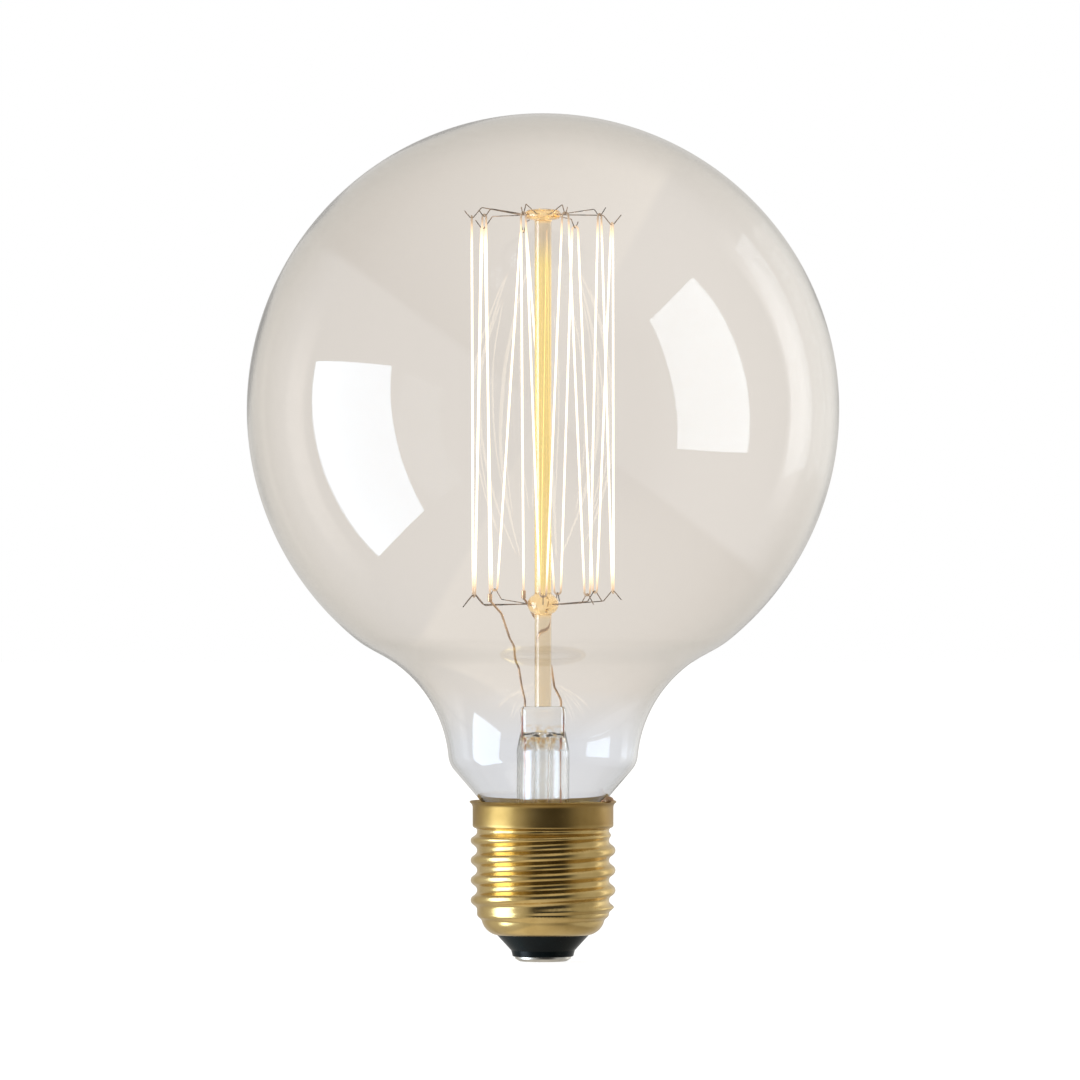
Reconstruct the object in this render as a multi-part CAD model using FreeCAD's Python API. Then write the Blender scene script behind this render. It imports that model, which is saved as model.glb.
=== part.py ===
import FreeCAD
import Part
import math
import os

Vector = FreeCAD.Vector
ORIGIN = Vector(0, 0, 0)
UP = Vector(0, 0, 1)

# A clear globe lamp with a wound filament on a wire cage, in millimetres.
# +Z runs along the lamp's axis from the contact to the crown, and the origin is at the
# middle of the contact's flat underside. The front of the lamp faces -Y.

# Fits, and the smallest differences that count
glass_fit = 0.02
hook_fit = 0.04
cap_fit = 0.05
touch = 1e-6
bore_overrun = 1e-3
straight_enough = 89.9

# Glass envelope
globe_diameter = 108.0
glass_wall = 0.7
globe_blend_angle = 50.8
globe_blend_radius = 18.9
neck_blend_radius = 23.4
neck_radius = 17.3
neck_angle = 5.2
shoulder_radius = 4.5
shoulder_angle = 40.5
tail_gap = 1.35
tail_blend_radius = 1.0
tail_bottom = 17.0
rim_gap = 1.35

# Glass stem
stem_radius = 4.8
stem_wall = 0.9
press_width = 8.3
press_depth = 4.0
press_bottom = 42.0
press_height = 4.8
press_rounding = 0.7
pinch_height = 3.4
pinch_wall = 1.1
pinch_squeeze = 0.4

# Exhaust tube
exhaust_radius = 1.75
exhaust_bore = 1.05
exhaust_tip = 13.0
exhaust_floor = 2.0
blow_hole_radius = 0.6
blow_hole_height = 0.9

# Glass arbor and its buttons
arbor_radius = 1.55
crown_gap = 17.3
upper_button_radius = 3.3
upper_button_height = 2.3
lower_button_radius = 2.85
lower_button_height = 4.0
lower_button_level = 65.2
button_neck_share = 0.35
button_flank_share = 0.78
button_foot_share = 0.86
button_hollow = 0.05
support_seat_share = 0.6

# Support wires: angle from the front, positive to the right, then heights from the
# button's level of the knee, of the hook and of the hook's free tip
support_radius = 0.09
support_bend = 0.5
support_stub = 1.0
hook_slope = 50.0
cage_radius = 13.0
upper_supports = [
    (-16, 1.5, -0.4, 1.2),
    (-55, 0.8, -0.6, 1.0),
    (-88, 1.3, -0.6, 1.3),
    (-122, -0.1, -2.3, 1.6),
    (-164, -0.9, -2.8, 1.2),
    (153, -0.4, -2.0, 1.2),
    (104, 0.0, -1.7, 1.8),
    (52, 0.7, -0.5, 1.4),
    (18, 1.4, -0.4, 1.2),
]
lower_supports = [
    (-75, 0.0, 1.7, -2.2),
    (-105, -0.3, 1.8, -1.8),
    (-137, 0.8, 2.7, -1.4),
    (168, 0.2, 2.0, -1.6),
    (133, 0.4, 2.3, -1.8),
    (78, 0.6, 2.4, -1.6),
    (38, 0.3, 2.0, -1.9),
    (0, 0.1, 1.8, -1.6),
]

# Filament
filament_radius = 0.18
filament_bend = 0.6
settling_rounds = 8

# Inner leads, with their routes from weld to crimp: sideways and forward as shares of the
# cage's radius, then height as a share of the way from the press to the lower button
lead_radius = 0.2
lead_bend = 1.6
lead_spacing = 6.6
lead_stub = 1.2
left_lead_route = [
    (-0.30, 0.03, 0.21),
    (-0.34, 0.06, 0.41),
    (-0.43, 0.20, 0.59),
    (-0.58, 0.41, 0.91),
    (-0.74, 0.61, 1.04),
]
right_lead_route = [
    (0.16, -0.09, 0.20),
    (0.12, -0.19, 0.41),
    (0.02, -0.22, 0.71),
    (-0.13, -0.20, 0.88),
    (-0.24, -0.14, 1.03),
    (-0.29, 0.03, 1.07),
    (-0.27, 0.77, 1.075),
]
crimp_radius = 0.4
crimp_length = 1.4
crimp_depth = 1.0
seal_wire_radius = 0.2
seal_wire_tail = 1.1
weld_level = 45.0

# Outer leads
outer_lead_radius = 0.2
outer_lead_bend = 1.2
side_lead_bend = 0.72
centre_lead_drop = 3.5
centre_lead_drift = 1.5
side_lead_dip = 3.1
side_lead_rise = 1.0
side_lead_turns = (85.0, 72.0)

# Screw cap
thread_diameter = 26.4
thread_depth = 1.15
thread_pitch = 3.629
thread_crest_height = 22.15
thread_fade = 1.3
land_height = 0.15
turn_steps = 48
pitch_steps = 14
shell_wall = 0.3
skirt_step = 0.36
skirt_bottom = 24.95
skirt_top = 28.2
skirt_shoulder_radius = 0.5
rim_flare = 0.59
rim_curl_radius = 1.0
rim_angle = 50.0
lip_inset = 3.6
lip_height = 4.92
lip_angle = 80.0
lip_curl_radius = 3.4
foot_angle = 14.0
foot_step_angle = 50.0
foot_step_radius = 0.8

# Cement, insulator and contact
cement_bottom = 19.5
cement_step = 0.1
cement_gap = 0.2
cement_slope = 0.3
contact_radius = 5.1
contact_wall = 0.35
contact_height = 0.15
contact_dish = 0.5
contact_edge = 0.3
contact_slope = 0.8
contact_hole = 1.1
insulator_foot_radius = 5.6
insulator_foot_round = 0.3
insulator_collar = 0.8
insulator_collar_lean = 0.2
insulator_top = 8.0
insulator_dish = 1.2
insulator_dish_share = 0.8
insulator_dish_spot = 0.6
insulator_hole = 1.4
solder_radius = 2.0
solder_flat = 1.0
solder_round_share = 0.35
solder_top = 1.7
solder_wire_depth = 0.6
rim_solder_angle = 65.0
rim_solder_radius = 1.0
rim_solder_height = 0.9
rim_solder_inset = 0.3

# Values worked out from the sizes above
globe_radius = globe_diameter / 2
root_radius = thread_diameter / 2 - thread_depth
skirt_radius = thread_diameter / 2 - skirt_step
rim_radius = skirt_radius + rim_flare
lip_radius = root_radius - lip_inset
tail_radius = root_radius - shell_wall - tail_gap
tail_bore = tail_radius - glass_wall
flare_radius = tail_bore - glass_fit - stem_radius
press_top = press_bottom + press_height
stem_bore = stem_radius - stem_wall
lead_offset = lead_spacing / 2
void_top = press_bottom - pinch_wall
pinch_bottom = press_bottom - pinch_height


def radians(degrees):
    return degrees * math.pi / 180


def polar(radius, degrees, height):
    """A point by its radius, its angle from the front and its height."""
    angle = radians(degrees)
    return Vector(radius * math.sin(angle), -radius * math.cos(angle), height)


def revolve(edges):
    """A solid of revolution about +Z from closed edges in the XZ plane."""
    return Part.Face(Part.Wire(Part.__sortEdges__(edges))).revolve(ORIGIN, UP, 360)


def line(start, end):
    return Part.LineSegment(start, end).toShape()


def arc(start, middle, end):
    return Part.Arc(start, middle, end).toShape()


def dome(radius, height, top):
    """A cap's profile from its edge to the axis, which it meets square on."""
    drop = height - top
    ball = (drop * drop + radius * radius) / (2 * abs(drop))
    half = math.asin(radius / ball) / 2
    rise = math.copysign(ball * (1 - math.cos(half)), drop)
    middle = Vector(ball * math.sin(half), 0, top + rise)
    return arc(Vector(radius, 0, height), middle, Vector(0, 0, top))


def closed_outline(points):
    """Straight edges through the points, back to the first."""
    return [line(a, b) for a, b in zip(points, points[1:] + points[:1])]


class Outline:
    """A profile in the XZ plane that is walked upwards, and its offset copies.

    The angle is the slope from the vertical, positive where the profile widens."""

    def __init__(self, radius, height, angle=0.0):
        self.spot = (radius, height)
        self.angle = angle
        self.steps = []

    def normal(self, degrees):
        return math.cos(radians(degrees)), -math.sin(radians(degrees))

    def run(self, length):
        r, z = self.spot
        self.steps.append(("line", self.spot, self.angle, length))
        turn = radians(self.angle)
        self.spot = (r + length * math.sin(turn), z + length * math.cos(turn))
        return self

    def turn(self, radius, angle):
        self.steps.append(("arc", self.spot, self.angle, radius, angle))
        self.spot = self.arc_point(self.spot, self.angle, radius, angle, angle)
        self.angle = angle
        return self

    def arc_point(self, spot, first, radius, last, at):
        side = -1 if last < first else 1
        n0 = self.normal(first)
        n1 = self.normal(at)
        return tuple(s + side * radius * (a - b) for s, a, b in zip(spot, n0, n1))

    def inside(self, spot, angle, offset):
        n = self.normal(angle)
        return Vector(spot[0] - offset * n[0], 0, spot[1] - offset * n[1])

    def edges(self, offset=0.0):
        made = []
        for step in self.steps:
            spot, angle = step[1], step[2]
            start = self.inside(spot, angle, offset)
            if step[0] == "line":
                turn = radians(angle)
                along = Vector(math.sin(turn), 0, math.cos(turn)) * step[3]
                made.append(line(start, start + along))
                continue
            radius, last = step[3], step[4]
            halfway = (angle + last) / 2
            middle = self.arc_point(spot, angle, radius, last, halfway)
            end = self.arc_point(spot, angle, radius, last, last)
            middle = self.inside(middle, halfway, offset)
            made.append(arc(start, middle, self.inside(end, last, offset)))
        return made

    def wall(self, thickness, offset=0.0):
        """A revolved wall between the outline and its offset copy."""
        outer = self.edges(offset)
        inner = self.edges(offset + thickness)
        caps = []
        for end in (0, -1):
            a = outer[end].Vertexes[end].Point
            b = inner[end].Vertexes[end].Point
            if (a - b).Length > touch and max(abs(a.x), abs(b.x)) > touch:
                caps.append(line(a, b))
        if abs(self.spot[0]) < touch:
            top = [edges[-1].Vertexes[-1].Point for edges in (outer, inner)]
            caps = caps[:1] + [line(top[0], top[1])]
        return revolve(outer + inner + caps)


# Outlines of the screw cap
def foot_outline():
    """The shell's closed end, from the lip to the thread's foot."""
    outline = Outline(lip_radius, lip_height, lip_angle)
    outline.turn(lip_curl_radius, foot_angle)
    outline.turn(foot_step_radius, foot_step_angle)
    s = radians(foot_step_angle)
    gain = root_radius - outline.spot[0] - foot_step_radius * (1 - math.cos(s))
    outline.run(gain / math.sin(s))
    outline.turn(foot_step_radius, 0.0)
    return outline


thread_bottom = foot_outline().spot[1] + land_height
shoulder_turn = math.acos(1 - (skirt_radius - root_radius) / (2 * skirt_shoulder_radius))
thread_top = skirt_bottom - 2 * skirt_shoulder_radius * math.sin(shoulder_turn) - land_height


def skirt_outline():
    """The shell above the thread: shoulder, plain skirt and flared rim."""
    outline = Outline(root_radius, thread_top + land_height)
    outline.turn(skirt_shoulder_radius, math.degrees(shoulder_turn))
    outline.turn(skirt_shoulder_radius, 0.0)
    outline.run(skirt_top - skirt_bottom)
    outline.turn(rim_curl_radius, rim_angle)
    outline.run((rim_radius - outline.spot[0]) / math.sin(radians(rim_angle)))
    return outline


def rim_corner():
    """The inner corner of the rim's edge."""
    outline = skirt_outline()
    return outline.inside(outline.spot, rim_angle, shell_wall)


# Glass envelope
def widest_slope():
    """The outline's steepest widening, where neck and globe blends meet."""
    reach = neck_blend_radius * math.cos(radians(neck_angle)) + neck_radius
    reach += (globe_blend_radius - globe_radius) * math.cos(radians(globe_blend_angle))
    return math.degrees(math.acos(reach / (neck_blend_radius + globe_blend_radius)))


def tail_top():
    """Where the tail's straight wall ends, so that its cone clears the rim by the gap."""
    s = radians(shoulder_angle)
    foot = tail_radius + tail_blend_radius * (1 - math.cos(s))
    corner = rim_corner()
    below = ((corner.x - foot) * math.cos(s) - rim_gap) / math.sin(s)
    return corner.z - below - tail_blend_radius * math.sin(s)


def envelope_outline():
    """The outer profile, from the tail's end to the crown."""
    s = radians(shoulder_angle)
    shoulder_gain = shoulder_radius * (math.cos(radians(neck_angle)) - math.cos(s))
    tail_gain = tail_blend_radius * (1 - math.cos(s))
    cone_gain = neck_radius - shoulder_gain - tail_gain - tail_radius
    outline = Outline(tail_radius, tail_bottom)
    outline.run(tail_top() - tail_bottom)
    outline.turn(tail_blend_radius, shoulder_angle)
    outline.run(cone_gain / math.sin(s))
    outline.turn(shoulder_radius, neck_angle)
    outline.turn(neck_blend_radius, widest_slope())
    outline.turn(globe_blend_radius, globe_blend_angle)
    outline.turn(globe_radius, -90.0)
    return outline


def glass_envelope():
    return envelope_outline().wall(glass_wall)


crown_height = envelope_outline().spot[1]
arbor_top = crown_height - crown_gap
upper_button_level = arbor_top - upper_button_height / 2


# Glass stem
def stadium(width, depth, height):
    """A flat-sided round-ended wire in four edges, centred on the axis."""
    end = depth / 2
    flat = width / 2 - end
    corners = [(flat, end), (flat, -end), (-flat, -end), (-flat, end)]
    a, b, c, d = [Vector(x, y, height) for x, y in corners]
    right = arc(a, Vector(flat + end, 0, height), b)
    left = arc(c, Vector(-flat - end, 0, height), d)
    return Part.Wire([right, line(b, c), left, line(d, a)])


def ring(radius, height):
    """A circle cut in four, to match the stadium's edges."""
    spots = [math.pi / 4, 0, -math.pi / 4, -math.pi / 2, -3 * math.pi / 4]
    spots += [-math.pi, -5 * math.pi / 4, -3 * math.pi / 2, -7 * math.pi / 4]
    p = [Vector(radius * math.cos(t), radius * math.sin(t), height) for t in spots]
    return Part.Wire([arc(p[i], p[i + 1], p[i + 2]) for i in (0, 2, 4, 6)])


def stem_flare():
    """Flared tube with a flat press at its head, holed for the wires it seals."""
    flare = Outline(tail_radius, tail_bottom, -90.0)
    flare.run(tail_radius - stem_radius - flare_radius)
    flare.turn(flare_radius, 0.0)
    flare.run(pinch_bottom - flare.spot[1])
    tube = revolve_tube(flare)
    head = Part.makeLoft(
        [ring(stem_radius, pinch_bottom), stadium(press_width, press_depth, press_bottom)],
        True,
    )
    press = Part.Face(stadium(press_width, press_depth, press_bottom))
    press = press.extrude(Vector(0, 0, press_height))
    top = [e for e in press.Edges if e.BoundBox.ZMin > press_top - touch]
    press = press.makeFillet(press_rounding, top)
    void = Part.makeLoft(
        [
            ring(stem_bore, pinch_bottom),
            stadium(2 * stem_bore - pinch_squeeze, 2 * exhaust_radius + pinch_squeeze, void_top),
        ],
        True,
    )
    stem = tube.fuse([head, press]).cut(void)
    hole_top = void_top + blow_hole_height
    bore = Part.makeCylinder(
        exhaust_bore, hole_top - void_top, Vector(0, 0, void_top - bore_overrun), UP
    )
    blow_hole = Part.makeCylinder(
        blow_hole_radius,
        stem_radius,
        Vector(0, 0, hole_top - blow_hole_radius),
        Vector(0, -1, 0),
    )
    stem = stem.cut([bore, blow_hole])
    for side in (-1, 1):
        wire = seal_wire(side, glass_fit)
        lead = Part.makeCylinder(
            lead_radius + glass_fit,
            press_height,
            Vector(side * lead_offset, 0, weld_level - glass_fit),
            UP,
        )
        stem = stem.cut([wire, lead])
    return stem.removeSplitter()


def revolve_tube(flare):
    """The flare's outline lies on its upper side, so its wall is below and inside."""
    outer = flare.edges()
    inner = flare.edges(stem_wall)
    ends = []
    for end in (0, -1):
        a = outer[end].Vertexes[end].Point
        b = inner[end].Vertexes[end].Point
        ends.append(line(a, b))
    return revolve(outer + inner + ends)


def seal_wire(side, extra=0.0):
    """The short wire sealed in the press, grown by the given clearance."""
    bottom = void_top - seal_wire_tail
    return Part.makeCylinder(
        seal_wire_radius + extra,
        weld_level - bottom,
        Vector(side * lead_offset, 0, bottom),
        UP,
    )


def exhaust_tube():
    """Tube under the press with its lower end melted shut to a blunt tip."""
    wall = exhaust_radius - exhaust_bore
    shut = exhaust_tip + exhaust_radius
    outer = [
        line(Vector(exhaust_radius, 0, void_top), Vector(exhaust_radius, 0, shut)),
        dome(exhaust_radius, shut, exhaust_tip),
    ]
    floor = exhaust_tip + exhaust_floor * wall
    inner = [
        line(Vector(0, 0, exhaust_tip), Vector(0, 0, floor)),
        line(Vector(0, 0, floor), Vector(exhaust_bore, 0, floor + exhaust_bore)),
        line(
            Vector(exhaust_bore, 0, floor + exhaust_bore),
            Vector(exhaust_bore, 0, void_top),
        ),
        line(Vector(exhaust_bore, 0, void_top), Vector(exhaust_radius, 0, void_top)),
    ]
    return revolve(outer + inner)


# Glass arbor
def button_side(level, radius, reach, sign):
    """From the rod out to a button's bulge, on the side that sign gives, seen upwards."""
    neck = arbor_radius + (radius - arbor_radius) * button_neck_share
    hollow = (arbor_radius + neck) / 2 - button_hollow
    spots = [
        Vector(arbor_radius, 0, level + sign * reach),
        Vector(hollow, 0, level + sign * reach * button_foot_share),
        Vector(neck, 0, level + sign * reach * button_flank_share),
    ]
    if sign > 0:
        spots.reverse()
    return arc(*spots)


def bulge(start, radius, level, end):
    return arc(start, Vector(radius, 0, level), end)


def glass_arbor():
    """Rod with two buttons, holed for the support wires. Its top button ends in a dome."""
    foot = Vector(arbor_radius, 0, press_top)
    half = lower_button_height / 2
    below = button_side(lower_button_level, lower_button_radius, half, -1)
    above = button_side(lower_button_level, lower_button_radius, half, 1)
    flank = [below.Vertexes[-1].Point, above.Vertexes[0].Point]
    half = upper_button_height / 2
    under = button_side(upper_button_level, upper_button_radius, half, -1)
    edge = under.Vertexes[-1].Point
    over = Vector(edge.x, 0, 2 * upper_button_level - edge.z)
    edges = [
        line(Vector(0, 0, press_top), foot),
        line(foot, below.Vertexes[0].Point),
        below,
        bulge(flank[0], lower_button_radius, lower_button_level, flank[1]),
        above,
        line(above.Vertexes[-1].Point, under.Vertexes[0].Point),
        under,
        bulge(edge, upper_button_radius, upper_button_level, over),
        dome(over.x, over.z, arbor_top),
        line(Vector(0, 0, arbor_top), Vector(0, 0, press_top)),
    ]
    holes = []
    for row, level, radius in support_rows():
        for support in row:
            seat = radius * support_seat_share - glass_fit
            start = polar(seat, support[0], level)
            way = polar(1, support[0], 0)
            holes.append(Part.makeCylinder(support_radius + glass_fit, radius, start, way))
    return revolve(edges).cut(holes)


def support_rows():
    """Both rows of supports with the level and the radius of their button."""
    return (
        (upper_supports, upper_button_level, upper_button_radius),
        (lower_supports, lower_button_level, lower_button_radius),
    )


# Wires
def rounded_path(points, bend):
    """Straight runs through the points, joined by tangent arcs."""
    edges = []
    start = points[0]
    for before, corner, after in zip(points, points[1:], points[2:]):
        back = (before - corner).normalize()
        ahead = (after - corner).normalize()
        half = back.getAngle(ahead) / 2
        if half > radians(straight_enough):
            continue
        reach = bend / math.tan(half)
        bisector = (back + ahead).normalize()
        middle = corner + bisector * (bend / math.sin(half) - bend)
        first = corner + back * reach
        last = corner + ahead * reach
        edges.append(line(start, first))
        edges.append(arc(first, middle, last))
        start = last
    edges.append(line(start, points[-1]))
    return edges


def swept_wire(points, bend, radius):
    """A round wire along a path of straight runs and tangent arcs."""
    path = Part.Wire(rounded_path(points, bend))
    along = (points[1] - points[0]).normalize()
    section = Part.Wire(Part.makeCircle(radius, points[0], along))
    return path.makePipeShell([section], True, False)


def hook_corner_drop():
    """How far a hook's sharp corner lies beyond its rounded crown."""
    return support_bend * (1 / math.cos(radians(hook_slope)) - 1)


def support_wire(support, level, radius, sign):
    """A hook wire: out of its button, over a knee, and round a V that opens by sign."""
    angle, knee, hook, tip = support
    slope = math.tan(radians(hook_slope))
    corner = level + hook - sign * hook_corner_drop()
    knee_reach = abs(level + knee - corner) / slope
    tip_reach = (abs(tip) + hook_corner_drop()) / slope
    spots = [
        (radius * support_seat_share, level),
        (radius + support_stub, level),
        (cage_radius - knee_reach, level + knee),
        (cage_radius, corner),
        (cage_radius + tip_reach, level + hook + tip),
    ]
    points = [polar(r, angle, z) for r, z in spots]
    return swept_wire(points, support_bend, support_radius)


def hook_crown(support, level, sign):
    """Where the filament's centre line crosses a hook."""
    stand_off = support_radius + filament_radius + hook_fit
    return polar(cage_radius, support[0], level + support[2] + sign * stand_off)


# Leads
def lead_points(side):
    """The route of an inner lead, from the weld in the press to the crimp."""
    rise = lower_button_level - press_top
    points = [
        Vector(side * lead_offset, 0, weld_level),
        Vector(side * lead_offset, 0, press_top + lead_stub),
    ]
    for across, forward, up in left_lead_route if side < 0 else right_lead_route:
        points.append(
            Vector(across * cage_radius, -forward * cage_radius, press_top + up * rise)
        )
    return points


def filament_crowns():
    """The hooks in the filament's order, from the left lead to the other."""
    upper = [hook_crown(s, upper_button_level, 1) for s in upper_supports]
    lower = [hook_crown(s, lower_button_level, -1) for s in lower_supports]
    order = upper[1:] + upper[:1]
    crowns = [order[0]]
    for below, above in zip(lower, order[1:]):
        crowns += [below, above]
    return crowns


def filament_points():
    """The filament's route with sharp corners, placed so its bends rest on the hooks."""
    ends = [lead_points(side)[-1] for side in (-1, 1)]
    crowns = filament_crowns()
    corners = list(crowns)
    for _ in range(settling_rounds):
        route = [ends[0]] + corners + [ends[1]]
        for i, crown in enumerate(crowns):
            back = (route[i] - route[i + 1]).normalize()
            ahead = (route[i + 2] - route[i + 1]).normalize()
            half = back.getAngle(ahead) / 2
            outward = (back + ahead).normalize() * -1
            corners[i] = crown + outward * (filament_bend / math.sin(half) - filament_bend)
    first = ends[0] + crimp_way(ends[0], corners[0]) * (crimp_length - crimp_depth)
    last = ends[1] + crimp_way(ends[1], corners[-1]) * (crimp_length - crimp_depth)
    return [first] + corners + [last]


def crimp_way(end, corner):
    return (corner - end).normalize()


def filament():
    return swept_wire(filament_points(), filament_bend, filament_radius)


def inner_lead(side):
    """A lead with a crimp at its end that holds the filament."""
    points = lead_points(side)
    route = filament_points()
    end = points[-1]
    way = crimp_way(end, route[1] if side < 0 else route[-2])
    wire = swept_wire(points, lead_bend, lead_radius)
    crimp = Part.makeCylinder(crimp_radius, crimp_length, end - way * lead_radius, way)
    bore = Part.makeCylinder(
        filament_radius + glass_fit,
        crimp_length,
        end + way * (crimp_length - crimp_depth - glass_fit),
        way,
    )
    return wire.fuse(crimp).cut(bore)


def outer_lead_foot(side):
    return Vector(side * lead_offset, 0, void_top - seal_wire_tail)


def centre_lead():
    """From the left seal wire down to the contact's solder."""
    points = [
        outer_lead_foot(-1),
        Vector(-lead_offset, 0, tail_bottom - centre_lead_drop),
        Vector(-centre_lead_drift, 0, insulator_top + insulator_dish),
        Vector(0, 0, insulator_top - insulator_dish),
        Vector(0, 0, solder_wire_depth),
    ]
    return swept_wire(points, outer_lead_bend, outer_lead_radius)


def side_lead(extra=0.0):
    """From the right seal wire under the flare and up beside the glass to the rim."""
    wall = (tail_radius + root_radius - shell_wall) / 2
    skirt_wall = (tail_radius + skirt_radius - shell_wall) / 2
    rim = rim_corner()
    low = tail_bottom - side_lead_dip
    first, second = side_lead_turns
    points = [
        outer_lead_foot(1),
        Vector(lead_offset, 0, tail_bottom + side_lead_rise),
        polar(stem_bore + lead_offset / 2, first, low),
        polar(tail_bore, second, low),
        polar(wall, rim_solder_angle, tail_bottom),
        polar(wall, rim_solder_angle, skirt_bottom - side_lead_rise),
        polar(skirt_wall, rim_solder_angle, tail_top() - side_lead_rise),
        polar(skirt_wall + outer_lead_radius, rim_solder_angle, rim.z),
        polar(rim_radius - outer_lead_radius, rim_solder_angle, rim.z + 2 * outer_lead_radius),
    ]
    return swept_wire(points, side_lead_bend, outer_lead_radius + extra)


# Screw cap
def knuckle(phase):
    """Height of the rounded thread form at a phase from 0 to 1, between 0 and 1.

    Crest and root are equal tangent arcs."""
    half = thread_pitch / 2
    round_radius = (half * half + thread_depth * thread_depth) / (4 * thread_depth)
    away = min(phase, 1 - phase) * thread_pitch
    if away < half / 2:
        drop = round_radius - math.sqrt(round_radius**2 - away**2)
        return 1 - drop / thread_depth
    rise = round_radius - math.sqrt(round_radius**2 - (half - away) ** 2)
    return rise / thread_depth


def fade(distance):
    """Smooth run-out of the thread within its fading length."""
    t = max(0.0, min(1.0, distance / thread_fade))
    return t * t * (3 - 2 * t)


def smoothing_gain(step):
    """How much poles stand out from a cubic surface that waves with this step angle."""
    return 3 / (2 + math.cos(step))


def thread_surface(offset):
    """The rolled thread as one surface, closed round the axis, outside or inside.

    Its poles stand on the thread form, with heights at the spline's own averages."""
    rise = thread_top - thread_bottom
    spans = round(rise / thread_pitch * pitch_steps)
    knots = [0] * 3 + list(range(spans + 1)) + [spans] * 3
    step = 2 * math.pi / turn_steps
    ring_gain = smoothing_gain(step)
    crest_gain = smoothing_gain(2 * math.pi / pitch_steps)
    poles = []
    for i in range(turn_steps):
        angle = (i - 1) * step
        row = []
        for j in range(spans + 3):
            z = thread_bottom + rise * sum(knots[j + 1 : j + 4]) / 3 / spans
            # half a turn from +X is the left side, where the crest height is given
            lead = thread_pitch * (angle / (2 * math.pi) - 0.5)
            swell = knuckle((z - thread_crest_height - lead) / thread_pitch % 1.0) - 0.5
            swell = 0.5 + swell * crest_gain
            swell *= fade(z - thread_bottom) * fade(thread_top - z)
            radius = (root_radius - offset + thread_depth * swell) * ring_gain
            row.append(Vector(radius * math.cos(angle), radius * math.sin(angle), z))
        poles.append(row)
    surface = Part.BSplineSurface()
    surface.buildFromPolesMultsKnots(
        poles,
        [1] * (turn_steps + 1),
        [4] + [1] * (spans - 1) + [4],
        list(range(turn_steps + 1)),
        list(range(spans + 1)),
        True,
        False,
        3,
        3,
    )
    return surface.toShape()


def thread_land(edge, height):
    """A plain band from the thread's end edge to a true circle at the given height."""
    radius = edge.Vertexes[0].Point.x
    circle = Part.makeCircle(radius, Vector(0, 0, height), UP)
    return Part.makeRuledSurface(circle, edge)


def screw_shell():
    """Thin rolled shell: closed foot, knuckle thread, skirt and rim, sewn to one solid."""
    faces = []
    for offset in (0.0, shell_wall):
        thread = thread_surface(offset)
        faces.append(thread)
        for edge in thread.Edges:
            if not edge.Closed:
                continue
            height = edge.Vertexes[0].Point.z
            away = land_height if height > thread_bottom + touch else -land_height
            faces.append(thread_land(edge, height + away))
    for outline, open_end in ((foot_outline(), 0), (skirt_outline(), -1)):
        outer = outline.edges()
        inner = outline.edges(shell_wall)
        a = outer[open_end].Vertexes[open_end].Point
        b = inner[open_end].Vertexes[open_end].Point
        for edge in outer + inner + [line(a, b)]:
            faces.append(edge.revolve(ORIGIN, UP, 360))
    sewn = Part.makeCompound(faces)
    sewn.sewShape()
    solid = Part.makeSolid(sewn.Shells[0])
    if solid.Volume < 0:
        solid.reverse()
    return solid


def basing_cement():
    """Ring between the glass tail and the shell, stepped where the thread starts."""
    inner = tail_radius + cap_fit
    skirt = skirt_radius - shell_wall - cap_fit
    thread = root_radius - shell_wall - cement_step
    top = tail_top() - cement_gap
    corners = [
        (inner, cement_bottom),
        (thread, cement_bottom),
        (thread, skirt_bottom + cement_step),
        (skirt, skirt_bottom + cement_step + cement_slope),
        (skirt, top),
        (inner, top - cement_slope),
    ]
    ring_solid = revolve(closed_outline([Vector(r, 0, z) for r, z in corners]))
    return ring_solid.cut(side_lead(cap_fit))


# Insulator and contact
def insulator():
    """Black glass plug, cast round the shell's lip, with a hole for the centre lead."""
    outline = foot_outline()
    inner_corner = outline.inside((lip_radius, lip_height), lip_angle, shell_wall)
    lip = inner_corner.x - cap_fit
    hug = outline.edges(shell_wall + cap_fit)[0]
    ends = [vertex.Point for vertex in hug.Vertexes]
    foot = contact_height + contact_wall + contact_dish
    under = lip_height - cap_fit
    outside = Outline(insulator_foot_radius - insulator_foot_round, foot, 90.0)
    outside.turn(insulator_foot_round, 0.0)
    edge = Vector(insulator_foot_radius, 0, outside.spot[1])
    collar = edge + Vector(insulator_collar_lean, 0, insulator_collar)
    rise = max(insulator_top, ends[1].z)
    dish = Vector(insulator_hole, 0, rise - insulator_dish)
    low = Vector(
        ends[1].x * insulator_dish_spot, 0, rise - insulator_dish * insulator_dish_share
    )
    edges = [
        line(Vector(insulator_hole, 0, foot), Vector(edge.x - insulator_foot_round, 0, foot)),
        outside.edges()[0],
        line(edge, collar),
        line(collar, Vector(lip, 0, under)),
        line(Vector(lip, 0, under), Vector(lip, 0, ends[0].z)),
        line(Vector(lip, 0, ends[0].z), ends[0]),
        hug,
        arc(ends[1], low, dish),
        line(dish, Vector(insulator_hole, 0, foot)),
    ]
    return revolve(edges)


def contact_plate():
    """Dished disc under the insulator with a hole for the solder."""
    top = contact_height + contact_wall
    corners = [
        (contact_hole, contact_height),
        (contact_radius - contact_slope, contact_height),
        (contact_radius, contact_height + contact_dish),
        (contact_radius, top + contact_dish),
        (contact_radius - contact_edge, top + contact_dish),
        (contact_radius - contact_edge - contact_slope, top),
        (contact_hole, top),
    ]
    return revolve(closed_outline([Vector(r, 0, z) for r, z in corners]))


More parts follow.
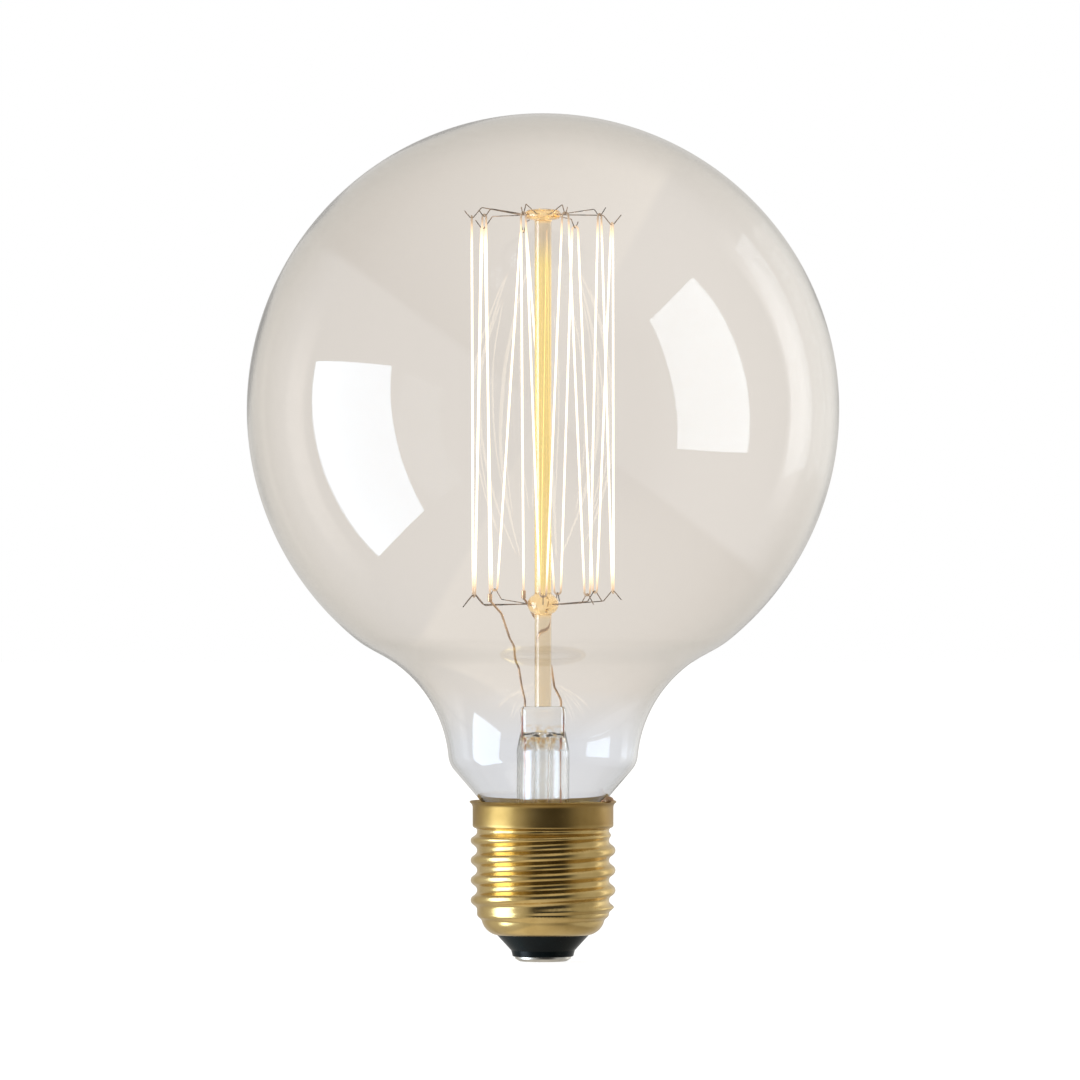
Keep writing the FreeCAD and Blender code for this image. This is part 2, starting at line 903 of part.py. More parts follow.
def contact_solder():
    """Solder in the contact's hole, with a small flat where the lamp makes contact."""
    neck = contact_hole - glass_fit
    under = contact_height - glass_fit
    edges = [
        line(ORIGIN, Vector(solder_flat, 0, 0)),
        arc(
            Vector(solder_flat, 0, 0),
            Vector((solder_flat + solder_radius) / 2, 0, under * solder_round_share),
            Vector(solder_radius, 0, under),
        ),
        line(Vector(solder_radius, 0, under), Vector(neck, 0, under)),
        line(Vector(neck, 0, under), Vector(neck, 0, solder_top)),
        line(Vector(neck, 0, solder_top), Vector(0, 0, solder_top)),
        line(Vector(0, 0, solder_top), ORIGIN),
    ]
    pocket = Part.makeCylinder(
        outer_lead_radius + glass_fit,
        solder_top,
        Vector(0, 0, solder_wire_depth - glass_fit),
        UP,
    )
    return revolve(edges).cut(pocket)


def rim_solder():
    """Solder drop on the rim over the side lead's end."""
    spot = rim_radius - rim_solder_inset
    centre = polar(spot, rim_solder_angle, rim_corner().z + cap_fit)
    drop = Part.makeSphere(rim_solder_radius, ORIGIN, UP, 0, 90, 360)
    squash = FreeCAD.Matrix()
    squash.scale(1.0, 1.0, rim_solder_height / rim_solder_radius)
    drop = drop.transformGeometry(squash)
    drop.translate(centre)
    return drop.cut(side_lead(glass_fit))


def make_parts():
    """Every node of the lamp, by name."""
    parts = {
        "glass_envelope": glass_envelope(),
        "stem_flare": stem_flare(),
        "exhaust_tube": exhaust_tube(),
        "glass_arbor": glass_arbor(),
        "filament": filament(),
        "inner_lead_left": inner_lead(-1),
        "inner_lead_right": inner_lead(1),
        "seal_wire_left": seal_wire(-1),
        "seal_wire_right": seal_wire(1),
        "centre_lead": centre_lead(),
        "side_lead": side_lead(),
        "screw_shell": screw_shell(),
        "basing_cement": basing_cement(),
        "insulator": insulator(),
        "contact_plate": contact_plate(),
        "contact_solder": contact_solder(),
        "rim_solder": rim_solder(),
    }
    for number, support in enumerate(upper_supports, 1):
        parts[f"upper_support_{number}"] = support_wire(
            support, upper_button_level, upper_button_radius, 1
        )
    for number, support in enumerate(lower_supports, 1):
        parts[f"lower_support_{number}"] = support_wire(
            support, lower_button_level, lower_button_radius, -1
        )
    return parts


os.makedirs("parts", exist_ok=True)
for name, shape in make_parts().items():
    solid_count = len(shape.Solids)
    print(f"{name}: solids {solid_count}, valid {shape.isValid()}, volume {shape.Volume:.2f}")
    shape.exportStep(f"parts/{name}.step")
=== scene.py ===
import math

import bpy
from mathutils import Matrix, Vector

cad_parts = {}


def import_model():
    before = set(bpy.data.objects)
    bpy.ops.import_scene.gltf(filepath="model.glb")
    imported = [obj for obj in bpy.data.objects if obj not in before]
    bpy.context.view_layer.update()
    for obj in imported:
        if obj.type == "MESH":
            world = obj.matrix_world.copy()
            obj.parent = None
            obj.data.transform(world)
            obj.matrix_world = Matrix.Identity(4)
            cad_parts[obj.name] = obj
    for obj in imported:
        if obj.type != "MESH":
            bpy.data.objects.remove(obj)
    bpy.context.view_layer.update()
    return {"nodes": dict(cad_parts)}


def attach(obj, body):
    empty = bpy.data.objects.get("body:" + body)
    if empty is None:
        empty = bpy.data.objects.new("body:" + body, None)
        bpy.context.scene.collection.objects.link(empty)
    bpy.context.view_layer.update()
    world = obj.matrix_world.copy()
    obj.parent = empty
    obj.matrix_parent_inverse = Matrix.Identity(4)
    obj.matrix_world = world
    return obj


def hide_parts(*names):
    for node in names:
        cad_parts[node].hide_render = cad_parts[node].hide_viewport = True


# A clear globe lamp, lit, standing on its contact on a white floor. Sizes are in metres.
# The lamp's axis is +Z and its front faces -Y, towards the camera.

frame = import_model()
nodes = frame["nodes"]

# Camera
camera_distance = 1.6405
camera_height = 0.0769
camera_shift = -0.00055
focal_length_px = 9000
frame_px = 1080
sensor_width = 36.0

# Levels on the lamp
upper_hooks = 0.1352
lower_hooks = 0.0672
rod_low = 0.060
rod_high = 0.140
press_low = 0.0384
press_high = 0.0436
neck_low = 0.0400
neck_high = 0.0500
skirt_foot = 0.0241
skirt_top = 0.0253

# The filament's glow: dull where it turns round a hook, just past the hook's level, and
# hot from this far along each strand
turn_reach = 0.0006
warm_length = 0.0050
dull_glow = 0.5
hot_glow = 2.1

# The skirt's painted shade, a darker tone that dims the light it reflects, and how much rougher it
# is than the thread
skirt_painted_shade = (0.60, 0.54, 0.44)
skirt_satin = 0.17

# The glass lies between these two depths under its outline
glass_skin = 0.00003
glass_wall = 0.00064

# The envelope's outline from its tail up: each turn has the straight run before it, its
# radius, and the slope from the vertical that it ends at, in degrees
tail_start = (0.0104, 0.017)
envelope_turns = [
    (0.010779, 0.001, 40.5),
    (0.008624, 0.0045, 5.2),
    (0.0, 0.0234, 64.186),
    (0.0, 0.0189, 50.8),
    (0.0, 0.054, -90.0),
]
ring_spacing = 0.0008
ring_segments = 144
least_rings = 6
ease_rings = 5

# Studio
backdrop = (0.83, 0.81, 0.80)
backdrop_left = 0.97
backdrop_right = 1.04
backdrop_reach = 0.03
room_side = (0.58, 0.575, 0.56)
room_high = (0.84, 0.80, 0.73)
room_low = (0.34, 0.31, 0.26)
room_back = (0.50, 0.485, 0.45)
room_end = (0.63, 0.615, 0.59)
room_front = 0.06
strip_light = 0.85
floor_size = 8.0
floor_glow = 0.85
window_radiance = 4.3
window_colour = (0.70, 0.84, 1.0)
window_centre = Vector((-0.4581, -0.1311, -0.0309))
window_across = Vector((0.0145, -0.3378, 0.0287))
window_up = Vector((-0.0372, 0.0409, 0.4996))


def node_maker(tree):
    """A function that adds a node and sets its properties and inputs by name."""

    def node(kind, **values):
        made = tree.nodes.new(kind)
        for key, value in values.items():
            if hasattr(made, key):
                setattr(made, key, value)
            else:
                made.inputs[key].default_value = value
        return made

    return node


def new_material(name):
    """A node material with its links, its Principled shader and a maker for nodes."""
    material = bpy.data.materials.new(name)
    material.use_nodes = True
    tree = material.node_tree
    return material, tree.links, tree.nodes["Principled BSDF"], node_maker(tree)


def surface(material):
    """The input that a material's finished shader goes to."""
    return material.node_tree.nodes["Material Output"].inputs["Surface"]


def object_place(node):
    """Where a spot lies on the object, in its own frame."""
    return node("ShaderNodeTexCoord").outputs["Object"]


def math_node(node, links, operation, a, b=None, c=None):
    """A Math node over numbers or sockets."""
    made = node("ShaderNodeMath", operation=operation)
    for slot, value in zip(made.inputs, (a, b, c)):
        if value is None:
            continue
        if isinstance(value, (int, float)):
            slot.default_value = value
        else:
            links.new(value, slot)
    return made.outputs[0]


def ramp(node, links, factor, stops):
    """A colour ramp through (position, colour) stops."""
    made = node("ShaderNodeValToRGB")
    elements = made.color_ramp.elements
    while len(elements) < len(stops):
        elements.new(0.5)
    for element, (position, colour) in zip(elements, stops):
        element.position = position
        element.color = (*colour, 1)
    links.new(factor, made.inputs["Fac"])
    return made.outputs["Color"]


def grey(value):
    """A colour with the same red, green and blue."""
    return (value, value, value)


def mix_colour(node, links, factor, a, b):
    """Mixes two colours, each a socket or a plain value."""
    mix = node("ShaderNodeMix", data_type="RGBA")
    for slot, value in ((mix.inputs["Factor"], factor), (mix.inputs[6], a), (mix.inputs[7], b)):
        if isinstance(value, tuple):
            slot.default_value = (*value, 1)
        else:
            links.new(value, slot)
    return mix.outputs[2]


def paint(material, *names):
    """Gives CAD nodes this material."""
    for name in names:
        for slot in nodes[name].material_slots:
            slot.material = material


def on_ray(links, node, kind, a, b):
    """Takes shader b for rays of this kind and a for the others."""
    path = node("ShaderNodeLightPath")
    mix = node("ShaderNodeMixShader")
    links.new(path.outputs[kind], mix.inputs["Fac"])
    links.new(a, mix.inputs[1])
    links.new(b, mix.inputs[2])
    return mix.outputs[0]


def by_height(node, links, place, low, high):
    """How far up a spot lies between two levels, from 0 to 1."""
    split = node("ShaderNodeSeparateXYZ")
    links.new(place, split.inputs[0])
    share = node("ShaderNodeMapRange")
    share.inputs["From Min"].default_value = low
    share.inputs["From Max"].default_value = high
    links.new(split.outputs["Z"], share.inputs["Value"])
    return share.outputs[0]


# Glass
def glass(name):
    """Clear glass that lets lamp light through, so what is inside and behind stays lit."""
    material, links, shader, node = new_material(name)
    shader.inputs["Transmission Weight"].default_value = 1.0
    shader.inputs["IOR"].default_value = 1.5
    shader.inputs["Roughness"].default_value = 0.0
    clear = node("ShaderNodeBsdfTransparent", Color=(0.97, 0.97, 0.97, 1))
    links.new(on_ray(links, node, "Is Shadow Ray", shader.outputs[0], clear.outputs[0]),
              surface(material))
    return material, links, shader, node


def envelope_glass():
    """Blown glass: warm over the globe, cooler in the neck, with faint waves in it."""
    material, links, shader, node = glass("envelope_glass")
    place = object_place(node)
    share = by_height(node, links, place, neck_low, neck_high)
    tint = ramp(node, links, share, [(0.0, (0.947, 0.964, 0.987)), (1.0, (0.968, 0.946, 0.914))])
    links.new(tint, shader.inputs["Base Color"])
    waves = node("ShaderNodeTexNoise", Scale=28.0, Detail=1.0)
    links.new(place, waves.inputs["Vector"])
    bump = node("ShaderNodeBump", Strength=0.07, Distance=0.002)
    links.new(waves.outputs[0], bump.inputs["Height"])
    links.new(bump.outputs[0], shader.inputs["Normal"])
    return material


def envelope_profile():
    """The outer side from the tail to the crown: radius, height and slope of each ring."""
    radius, height = tail_start
    slope = 0.0
    rings = [(radius, height, slope)]
    for run, bend, end in envelope_turns:
        if run:
            radius += run * math.sin(slope)
            height += run * math.cos(slope)
            rings.append((radius, height, slope))
        last = math.radians(end)
        side = 1 if last > slope else -1
        count = max(least_rings, math.ceil(bend * abs(last - slope) / ring_spacing))
        for step in range(1, count + 1):
            angle = slope + (last - slope) * step / count
            out = side * bend * (math.cos(slope) - math.cos(angle))
            up = side * bend * (math.sin(angle) - math.sin(slope))
            rings.append((radius + out, height + up, angle))
        radius, height, slope = rings[-1]
    steepest = max(range(len(rings)), key=lambda i: rings[i][2])
    return eased(rings, steepest - ease_rings, steepest + ease_rings)


def eased(rings, first, last):
    """The same outline with a gradual bend between two of its rings."""
    start, end = rings[first], rings[last]
    reach = math.dist(start[:2], end[:2])
    ways = [Vector((math.sin(ring[2]), math.cos(ring[2]))) * reach for ring in (start, end)]
    spots = [Vector(ring[:2]) for ring in (start, end)]
    bend = []
    for step in range(1, last - first):
        t = step / (last - first)
        spot = (2 * t**3 - 3 * t**2 + 1) * spots[0] + (3 * t**2 - 2 * t**3) * spots[1]
        spot += (t**3 - 2 * t**2 + t) * ways[0] + (t**3 - t**2) * ways[1]
        way = (6 * t**2 - 6 * t) * (spots[0] - spots[1])
        way += (3 * t**2 - 4 * t + 1) * ways[0] + (3 * t**2 - 2 * t) * ways[1]
        bend.append((spot.x, spot.y, math.atan2(way.x, way.y)))
    return rings[:first + 1] + bend + rings[last:]


def inward(ring, depth):
    """The point at this depth under a ring of the outline."""
    radius, height, slope = ring
    return radius - depth * math.cos(slope), height + depth * math.sin(slope)


def envelope_mesh(material):
    """The blown glass turned as one smooth wall, with an outer and an inner side."""
    outline = envelope_profile()
    outer = [inward(ring, glass_skin) for ring in outline]
    inner = [inward(ring, glass_wall) for ring in outline]
    loop = outer[:-1]
    loop += reversed(inner[:-1])
    crowns = (len(outer) - 2, len(outer) - 1)
    verts = []
    for r, z in loop:
        for step in range(ring_segments):
            turn = 2 * math.pi * step / ring_segments
            verts.append((r * math.cos(turn), r * math.sin(turn), z))
    poles = (len(verts), len(verts) + 1)
    verts += [(0, 0, outer[-1][1]), (0, 0, inner[-1][1])]
    faces = []
    for ring in range(len(loop)):
        below = ring * ring_segments
        above = (ring + 1) % len(loop) * ring_segments
        for step in range(ring_segments):
            after = (step + 1) % ring_segments
            if ring == crowns[0]:
                faces.append((below + step, below + after, poles[0]))
                faces.append((above + after, above + step, poles[1]))
            else:
                faces.append((below + step, below + after, above + after, above + step))
    mesh = bpy.data.meshes.new("blown_envelope")
    mesh.from_pydata(verts, [], faces)
    mesh.shade_smooth()
    mesh.materials.append(material)
    made = bpy.data.objects.new("blown_envelope", mesh)
    bpy.context.scene.collection.objects.link(made)
    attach(made, "root")
    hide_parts("glass_envelope")


def stem_glass():
    """Drawn glass with streaks, browned in patches where it was fused to the wires."""
    material, links, shader, node = glass("stem_glass")
    shader.inputs["Coat Weight"].default_value = 0.6
    shader.inputs["Coat IOR"].default_value = 1.9
    place = object_place(node)
    share = by_height(node, links, place, press_low, press_high)
    fused = ramp(node, links, share, [
        (0.0, grey(0)), (0.3, grey(1)), (0.75, grey(1)), (1.0, grey(0))])
    patches = node("ShaderNodeTexNoise", Scale=850.0, Detail=3.0)
    links.new(place, patches.inputs["Vector"])
    spots = ramp(node, links, patches.outputs[0], [(0.50, grey(0)), (0.62, grey(1))])
    brown = math_node(node, links, "MULTIPLY", fused, spots)
    tint = mix_colour(node, links, brown, (0.985, 0.98, 0.965), (0.84, 0.56, 0.22))
    links.new(tint, shader.inputs["Base Color"])
    streaks = node("ShaderNodeMapping")
    streaks.inputs["Scale"].default_value = (900, 900, 60)
    links.new(place, streaks.inputs["Vector"])
    drawn = node("ShaderNodeTexNoise", Scale=1.0, Detail=2.0)
    links.new(streaks.outputs[0], drawn.inputs["Vector"])
    bump = node("ShaderNodeBump", Strength=0.25, Distance=0.0002)
    links.new(drawn.outputs[0], bump.inputs["Height"])
    links.new(bump.outputs[0], shader.inputs["Normal"])
    return material


def arbor_glass():
    """Glass with a painted glow: a tint and a faint emission along the rod stand in for the
    filament's light piped into it, strongest between the two buttons and at the buttons
    themselves.
    """
    material, links, shader, node = glass("arbor_glass")
    place = object_place(node)
    share = by_height(node, links, place, rod_low, rod_high)
    # The tint ramp paints the filament's light in the glass: a deeper warm colour at the buttons
    # and along the rod between them.
    beige, painted_glow_amber, painted_glow_yellow = (0.95, 0.80, 0.57), (0.97, 0.81, 0.46), (0.98, 0.83, 0.36)
    dull = (0.91, 0.76, 0.55)
    tint = ramp(node, links, share, [
        (0.03, beige), (0.045, painted_glow_amber), (0.085, painted_glow_amber), (0.11, painted_glow_yellow), (0.84, painted_glow_yellow),
        (0.90, dull), (0.93, dull), (0.94, painted_glow_amber)])
    links.new(tint, shader.inputs["Base Color"])
    # Painted glow: an emission in the filament's colour at the buttons and along the rod, though
    # the glass gives no light of its own.
    faint, hub_painted_glow, rod = (0, 0, 0), (0.12, 0.055, 0.004), (0.10, 0.055, 0.003)
    glow = ramp(node, links, share, [
        (0.03, faint), (0.045, hub_painted_glow), (0.085, hub_painted_glow), (0.11, rod), (0.84, rod), (0.90, faint),
        (0.93, faint), (0.94, hub_painted_glow)])
    links.new(glow, shader.inputs["Emission Color"])
    shader.inputs["Emission Strength"].default_value = 1.0
    shader.inputs["Coat Weight"].default_value = 1.0
    shader.inputs["Coat IOR"].default_value = 1.9
    beads = ramp(node, links, share, [
        (0.035, grey(0)), (0.05, grey(1)), (0.08, grey(1)), (0.095, grey(0)), (0.935, grey(0)),
        (0.945, grey(1))])
    swirls = node("ShaderNodeTexNoise", Scale=420.0, Detail=2.0)
    links.new(place, swirls.inputs["Vector"])
    bump = node("ShaderNodeBump", Strength=0.7, Distance=0.0004)
    links.new(math_node(node, links, "MULTIPLY", beads, swirls.outputs[0]), bump.inputs["Height"])
    links.new(bump.outputs[0], shader.inputs["Normal"])
    return material


# Wires
def filament_wire():
    """Wound tungsten, white-hot along each strand and dull where a hook cools it."""
    material, links, shader, node = new_material("filament_wire")
    place = object_place(node)
    low = by_height(node, links, place, lower_hooks - turn_reach, lower_hooks + warm_length)
    high = by_height(node, links, place, upper_hooks + turn_reach, upper_hooks - warm_length)
    heat = math_node(node, links, "MULTIPLY", low, high)
    colour = ramp(node, links, heat, [
        (0.0, (0.50, 0.33, 0.20)), (0.3, (0.95, 0.68, 0.44)), (0.7, (1.0, 0.84, 0.60)),
        (1.0, (1.0, 0.88, 0.68))])
    strength = node("ShaderNodeMapRange")
    strength.inputs["To Min"].default_value = dull_glow
    strength.inputs["To Max"].default_value = hot_glow
    links.new(heat, strength.inputs["Value"])
    coils = node("ShaderNodeTexWave", bands_direction="Z", Scale=2500.0)
    links.new(place, coils.inputs["Vector"])
    bump = node("ShaderNodeBump", Strength=0.5, Distance=0.00003)
    links.new(coils.outputs["Fac"], bump.inputs["Height"])
    links.new(bump.outputs[0], shader.inputs["Normal"])
    shader.inputs["Base Color"].default_value = (0.3, 0.26, 0.22, 1)
    shader.inputs["Metallic"].default_value = 1.0
    shader.inputs["Roughness"].default_value = 0.45
    links.new(colour, shader.inputs["Emission Color"])
    links.new(strength.outputs[0], shader.inputs["Emission Strength"])
    return material


def wire(name, light, dark, roughness, scale):
    """Drawn wire whose colour changes along its length."""
    material, links, shader, node = new_material(name)
    place = object_place(node)
    noise = node("ShaderNodeTexNoise", Scale=scale, Detail=3.0)
    links.new(place, noise.inputs["Vector"])
    colour = ramp(node, links, noise.outputs[0], [(0.35, dark), (0.62, light)])
    links.new(colour, shader.inputs["Base Color"])
    shader.inputs["Metallic"].default_value = 1.0
    shader.inputs["Roughness"].default_value = roughness
    return material


# Cap
def cap_brass():
    """Rolled brass: satin, with fine marks round the cap, and a painted shade that darkens the
    skirt.
    """
    material, links, shader, node = new_material("cap_brass")
    place = object_place(node)
    stretch = node("ShaderNodeMapping")
    stretch.inputs["Scale"].default_value = (60, 60, 4200)
    links.new(place, stretch.inputs["Vector"])
    marks = node("ShaderNodeTexNoise", Scale=1.0, Detail=4.0)
    links.new(stretch.outputs[0], marks.inputs["Vector"])
    cloud = node("ShaderNodeTexNoise", Scale=160.0, Detail=5.0)
    links.new(place, cloud.inputs["Vector"])
    colour = ramp(node, links, cloud.outputs[0], [
        (0.3, (0.54, 0.38, 0.14)), (0.5, (0.69, 0.50, 0.20)), (0.75, (0.78, 0.59, 0.27))])
    rough = node("ShaderNodeMapRange")
    rough.inputs["To Min"].default_value = 0.17
    rough.inputs["To Max"].default_value = 0.27
    links.new(marks.outputs[0], rough.inputs["Value"])
    skirt = by_height(node, links, place, skirt_foot, skirt_top)
    satin = math_node(node, links, "MULTIPLY_ADD", skirt, skirt_satin, rough.outputs[0])
    links.new(satin, shader.inputs["Roughness"])
    # Painted shade: the skirt's colour is darkened to dim the light it reflects.
    shaded_skirt = node("ShaderNodeMix", data_type="RGBA", blend_type="MULTIPLY")
    shaded_skirt.inputs[7].default_value = (*skirt_painted_shade, 1)
    links.new(skirt, shaded_skirt.inputs["Factor"])
    links.new(colour, shaded_skirt.inputs[6])
    links.new(shaded_skirt.outputs[2], shader.inputs["Base Color"])
    bump = node("ShaderNodeBump", Strength=0.12, Distance=0.00005)
    links.new(marks.outputs[0], bump.inputs["Height"])
    links.new(bump.outputs[0], shader.inputs["Normal"])
    shader.inputs["Metallic"].default_value = 1.0
    return material


def black_glass():
    """Moulded black glass with a dull gloss."""
    material, links, shader, node = new_material("black_glass")
    place = object_place(node)
    noise = node("ShaderNodeTexNoise", Scale=300.0, Detail=2.0)
    links.new(place, noise.inputs["Vector"])
    colour = ramp(node, links, noise.outputs[0], [
        (0.3, (0.003, 0.006, 0.007)), (0.8, (0.006, 0.013, 0.015))])
    links.new(colour, shader.inputs["Base Color"])
    bump = node("ShaderNodeBump", Strength=0.1, Distance=0.0003)
    links.new(noise.outputs[0], bump.inputs["Height"])
    links.new(bump.outputs[0], shader.inputs["Normal"])
    shader.inputs["Roughness"].default_value = 0.24
    shader.inputs["Specular IOR Level"].default_value = 0.12
    return material


def cement():
    """Baked cement, rough and speckled."""
    material, links, shader, node = new_material("cement")
    place = object_place(node)
    noise = node("ShaderNodeTexNoise", Scale=1200.0, Detail=6.0)
    links.new(place, noise.inputs["Vector"])
    colour = ramp(node, links, noise.outputs[0], [
        (0.3, (0.42, 0.3, 0.2)), (0.7, (0.66, 0.56, 0.44))])
    links.new(colour, shader.inputs["Base Color"])
    bump = node("ShaderNodeBump", Strength=0.5, Distance=0.0002)
    links.new(noise.outputs[0], bump.inputs["Height"])
    links.new(bump.outputs[0], shader.inputs["Normal"])
    shader.inputs["Roughness"].default_value = 0.85
    return material


def soft_metal(name, colour, roughness, scale):
    """Plated metal or solder with a dull, uneven skin."""
    material, links, shader, node = new_material(name)
    place = object_place(node)
    noise = node("ShaderNodeTexNoise", Scale=scale, Detail=4.0)
    links.new(place, noise.inputs["Vector"])
    dull = tuple(c * 0.75 for c in colour)
    links.new(ramp(node, links, noise.outputs[0], [(0.3, dull), (0.65, colour)]),
              shader.inputs["Base Color"])
    bump = node("ShaderNodeBump", Strength=0.3, Distance=0.0002)
    links.new(noise.outputs[0], bump.inputs["Height"])
    links.new(bump.outputs[0], shader.inputs["Normal"])
    shader.inputs["Metallic"].default_value = 1.0
    shader.inputs["Roughness"].default_value = roughness
    return material


envelope_mesh(envelope_glass())
paint(stem_glass(), "stem_flare", "exhaust_tube")
paint(arbor_glass(), "glass_arbor")
paint(filament_wire(), "filament")
leads = wire("lead_wire", (0.88, 0.60, 0.38), (0.30, 0.20, 0.15), 0.35, 260)
paint(leads, "inner_lead_left", "inner_lead_right")
seals = wire("seal_metal", (0.62, 0.18, 0.09), (0.22, 0.09, 0.06), 0.5, 500)
paint(seals, "seal_wire_left", "seal_wire_right")
outer_leads = wire("copper_wire", (0.85, 0.45, 0.26), (0.4, 0.2, 0.12), 0.3, 300)
paint(outer_leads, "centre_lead", "side_lead")
supports = [name for name in nodes if "_support_" in name]
paint(wire("support_wire", (0.42, 0.29, 0.21), (0.07, 0.07, 0.07), 0.35, 700), *supports)
paint(cap_brass(), "screw_shell")
paint(black_glass(), "insulator")
paint(cement(), "basing_cement")
paint(soft_metal("contact_metal", (0.75, 0.72, 0.66), 0.3, 500), "contact_plate")
paint(soft_metal("solder", (0.68, 0.68, 0.68), 0.35, 900), "contact_solder")
paint(soft_metal("rim_solder", (0.52, 0.33, 0.20), 0.45, 900), "rim_solder")


# Studio
def sky(node, links):
    """Where a ray leaves the room: across, ahead, the turn about the view axis, the side it
    leaves by, and how high."""
    place = node("ShaderNodeTexCoord")
    split = node("ShaderNodeSeparateXYZ")
    links.new(place.outputs["Generated"], split.inputs[0])
    x, y, z = split.outputs
    roll = math_node(node, links, "ARCTAN2", z, x)
    roll = math_node(node, links, "DIVIDE", roll, math.pi)
    roll = math_node(node, links, "FRACT", math_node(node, links, "ADD", roll, 2.0))
    ahead = math_node(node, links, "MULTIPLY", y, -1.0)
    azimuth = math_node(node, links, "ARCTAN2", x, ahead)
    azimuth = math_node(node, links, "MULTIPLY_ADD", azimuth, 0.5 / math.pi, 0.5)
    rise = math_node(node, links, "MULTIPLY_ADD", z, 0.5, 0.5)
    return x, y, roll, azimuth, rise


def by_degrees(stops, whole):
    """Ramp stops from degrees, where the ramp's length stands for the whole."""
    return [(degrees / whole, colour) for degrees, colour in stops]


def vector_node(node, links, operation, a, b):
    """A Vector Math node over two sockets."""
    made = node("ShaderNodeVectorMath", operation=operation)
    links.new(a, made.inputs[0])
    links.new(b, made.inputs[1])
    return made.outputs[0]


def room(node, links, y, roll, azimuth, rise):
    """A room with light walls at both sides, a shaded corner and a strip light."""
    walls = ramp(node, links, roll, by_degrees([
        (0, room_side), (61, room_side), (63, room_high), (142, room_low), (144, room_side)], 180))
    behind = ramp(node, links, y, [(0.45, grey(0)), (0.75, grey(1))])
    around = mix_colour(node, links, behind, walls, room_back)
    end = ramp(node, links, y, [(0.80, grey(0)), (0.95, grey(1))])
    around = mix_colour(node, links, end, around, room_end)
    strip = ramp(node, links, azimuth, by_degrees([
        (290, grey(0)), (294, grey(1)), (303, grey(1)), (307, grey(0.5)), (330, grey(0.40)),
        (338, grey(0.22)), (346, grey(0.0))], 360))
    level = ramp(node, links, rise, [
        (0.25, grey(0)), (0.31, grey(0.08)), (0.385, grey(0.55)), (0.46, grey(1)), (0.64, grey(1)),
        (0.72, grey(0.75)), (0.84, grey(0))])
    lift = math_node(node, links, "MULTIPLY", strip, level)
    lift = math_node(node, links, "MULTIPLY", lift, strip_light)
    return vector_node(node, links, "ADD", around, lift)


def front_shade(node, links, azimuth, rise):
    """The dark side of the room behind the camera, unshaded far above and below."""
    sides = ramp(node, links, azimuth, by_degrees([
        (146, grey(0)), (163, grey(1)), (220, grey(1)), (238, grey(0.15)), (275, grey(0.10)),
        (290, grey(0))], 360))
    level = ramp(node, links, rise, [
        (0.15, grey(0)), (0.30, grey(1)), (0.70, grey(1)), (0.87, grey(0))])
    amount = math_node(node, links, "MULTIPLY", sides, level)
    return math_node(node, links, "MULTIPLY_ADD", amount, room_front - 1.0, 1.0)


def backdrop_tone(node, links, x):
    """What lies straight behind the glass, a little lighter to the right."""
    across = node("ShaderNodeMapRange")
    across.inputs["From Min"].default_value = -backdrop_reach
    across.inputs["From Max"].default_value = backdrop_reach
    across.inputs["To Min"].default_value = backdrop_left
    across.inputs["To Max"].default_value = backdrop_right
    links.new(x, across.inputs["Value"])
    toned = node("ShaderNodeVectorMath", operation="SCALE")
    toned.inputs[0].default_value = backdrop
    links.new(across.outputs[0], toned.inputs["Scale"])
    return toned.outputs[0]


def world():
    """White to the camera, a pale backdrop through glass, and the room in reflections."""
    made = bpy.data.worlds.new("studio")
    bpy.context.scene.world = made
    made.use_nodes = True
    tree = made.node_tree
    tree.nodes.clear()
    links = tree.links
    node = node_maker(tree)
    x, y, roll, azimuth, rise = sky(node, links)
    walls = room(node, links, y, roll, azimuth, rise)
    shade = front_shade(node, links, azimuth, rise)
    shaded = vector_node(node, links, "MULTIPLY", walls, shade)
    path = node("ShaderNodeLightPath")
    straight = math_node(node, links, "LESS_THAN", path.outputs["Glossy Depth"], 0.5)
    through = mix_colour(node, links, straight, walls, backdrop_tone(node, links, x))
    seen = mix_colour(node, links, path.outputs["Is Transmission Ray"], shaded, through)
    seen = mix_colour(node, links, path.outputs["Is Camera Ray"], seen, (1.0, 1.0, 1.0))
    light = node("ShaderNodeBackground")
    links.new(seen, light.inputs["Color"])
    output = node("ShaderNodeOutputWorld")
    links.new(light.outputs[0], output.inputs["Surface"])


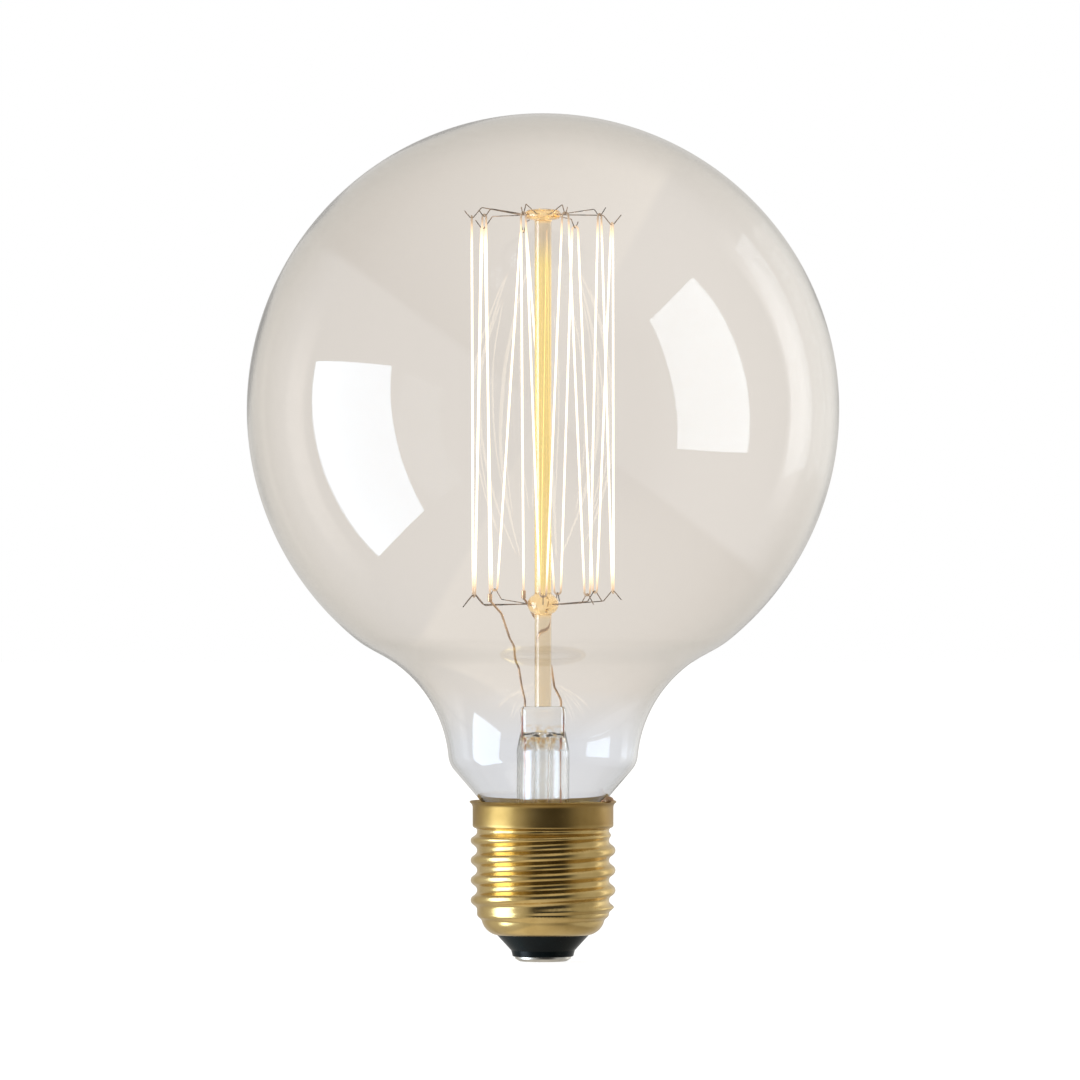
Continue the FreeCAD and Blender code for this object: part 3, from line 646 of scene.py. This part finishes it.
def floor():
    """White to the camera, with the lamp's shadow, and clear in glass and metal."""
    half = floor_size / 2
    corners = [(-half, -half, 0), (half, -half, 0), (half, half, 0), (-half, half, 0)]
    mesh = bpy.data.meshes.new("floor")
    mesh.from_pydata(corners, [], [(0, 1, 2, 3)])
    made = bpy.data.objects.new("floor", mesh)
    bpy.context.scene.collection.objects.link(made)
    material, links, shader, node = new_material("floor_white")
    shader.inputs["Base Color"].default_value = (0.5, 0.5, 0.5, 1)
    shader.inputs["Roughness"].default_value = 0.9
    glow = node("ShaderNodeEmission", Color=(1, 1, 1, 1), Strength=floor_glow)
    add = node("ShaderNodeAddShader")
    links.new(shader.outputs[0], add.inputs[0])
    links.new(glow.outputs[0], add.inputs[1])
    clear = node("ShaderNodeBsdfTransparent", Color=(1, 1, 1, 1)).outputs[0]
    seen = on_ray(links, node, "Is Diffuse Ray", clear, shader.outputs[0])
    seen = on_ray(links, node, "Is Camera Ray", seen, add.outputs[0])
    links.new(seen, surface(material))
    mesh.materials.append(material)


def panel(name, centre, across, up, radiance, colour):
    """A rectangular softbox that faces the lamp, of this radiance. Glass reflects it, but
    what lies straight behind the glass is always the backdrop."""
    light = bpy.data.lights.new(name, "AREA")
    light.use_nodes = True
    tree = light.node_tree
    links = tree.links
    node = node_maker(tree)
    path = node("ShaderNodeLightPath")
    straight = math_node(node, links, "LESS_THAN", path.outputs["Glossy Depth"], 0.5)
    glazed = math_node(node, links, "GREATER_THAN", path.outputs["Transmission Depth"], 0.5)
    behind = math_node(node, links, "MULTIPLY", straight, glazed)
    seen = math_node(node, links, "SUBTRACT", 1.0, behind)
    links.new(seen, tree.nodes["Emission"].inputs["Strength"])
    light.shape = "RECTANGLE"
    light.size = across.length
    light.size_y = up.length
    light.energy = radiance * math.pi * light.size * light.size_y
    light.color = colour
    made = bpy.data.objects.new(name, light)
    bpy.context.scene.collection.objects.link(made)
    x = across.normalized()
    z = x.cross(up).normalized()
    turn = Matrix((x, z.cross(x), z)).transposed()
    made.matrix_world = Matrix.Translation(centre) @ turn.to_4x4()
    made.visible_camera = False


def camera():
    """A long lens that sees the cap almost level."""
    data = bpy.data.cameras.new("camera")
    data.sensor_width = sensor_width
    data.lens = sensor_width * focal_length_px / frame_px
    data.clip_start, data.clip_end = 0.01, 20
    made = bpy.data.objects.new("camera", data)
    bpy.context.scene.collection.objects.link(made)
    made.location = (camera_shift, -camera_distance, camera_height)
    made.rotation_euler = (math.radians(90), 0, 0)
    bpy.context.scene.camera = made


world()
floor()
panel("softbox_left", window_centre, window_across, window_up, window_radiance, window_colour)
camera()

scene = bpy.context.scene
scene.view_settings.view_transform = "Standard"
scene.cycles.max_bounces = 32
scene.cycles.transmission_bounces = 32
scene.cycles.glossy_bounces = 8
scene.cycles.transparent_max_bounces = 32
scene.cycles.caustics_refractive = False
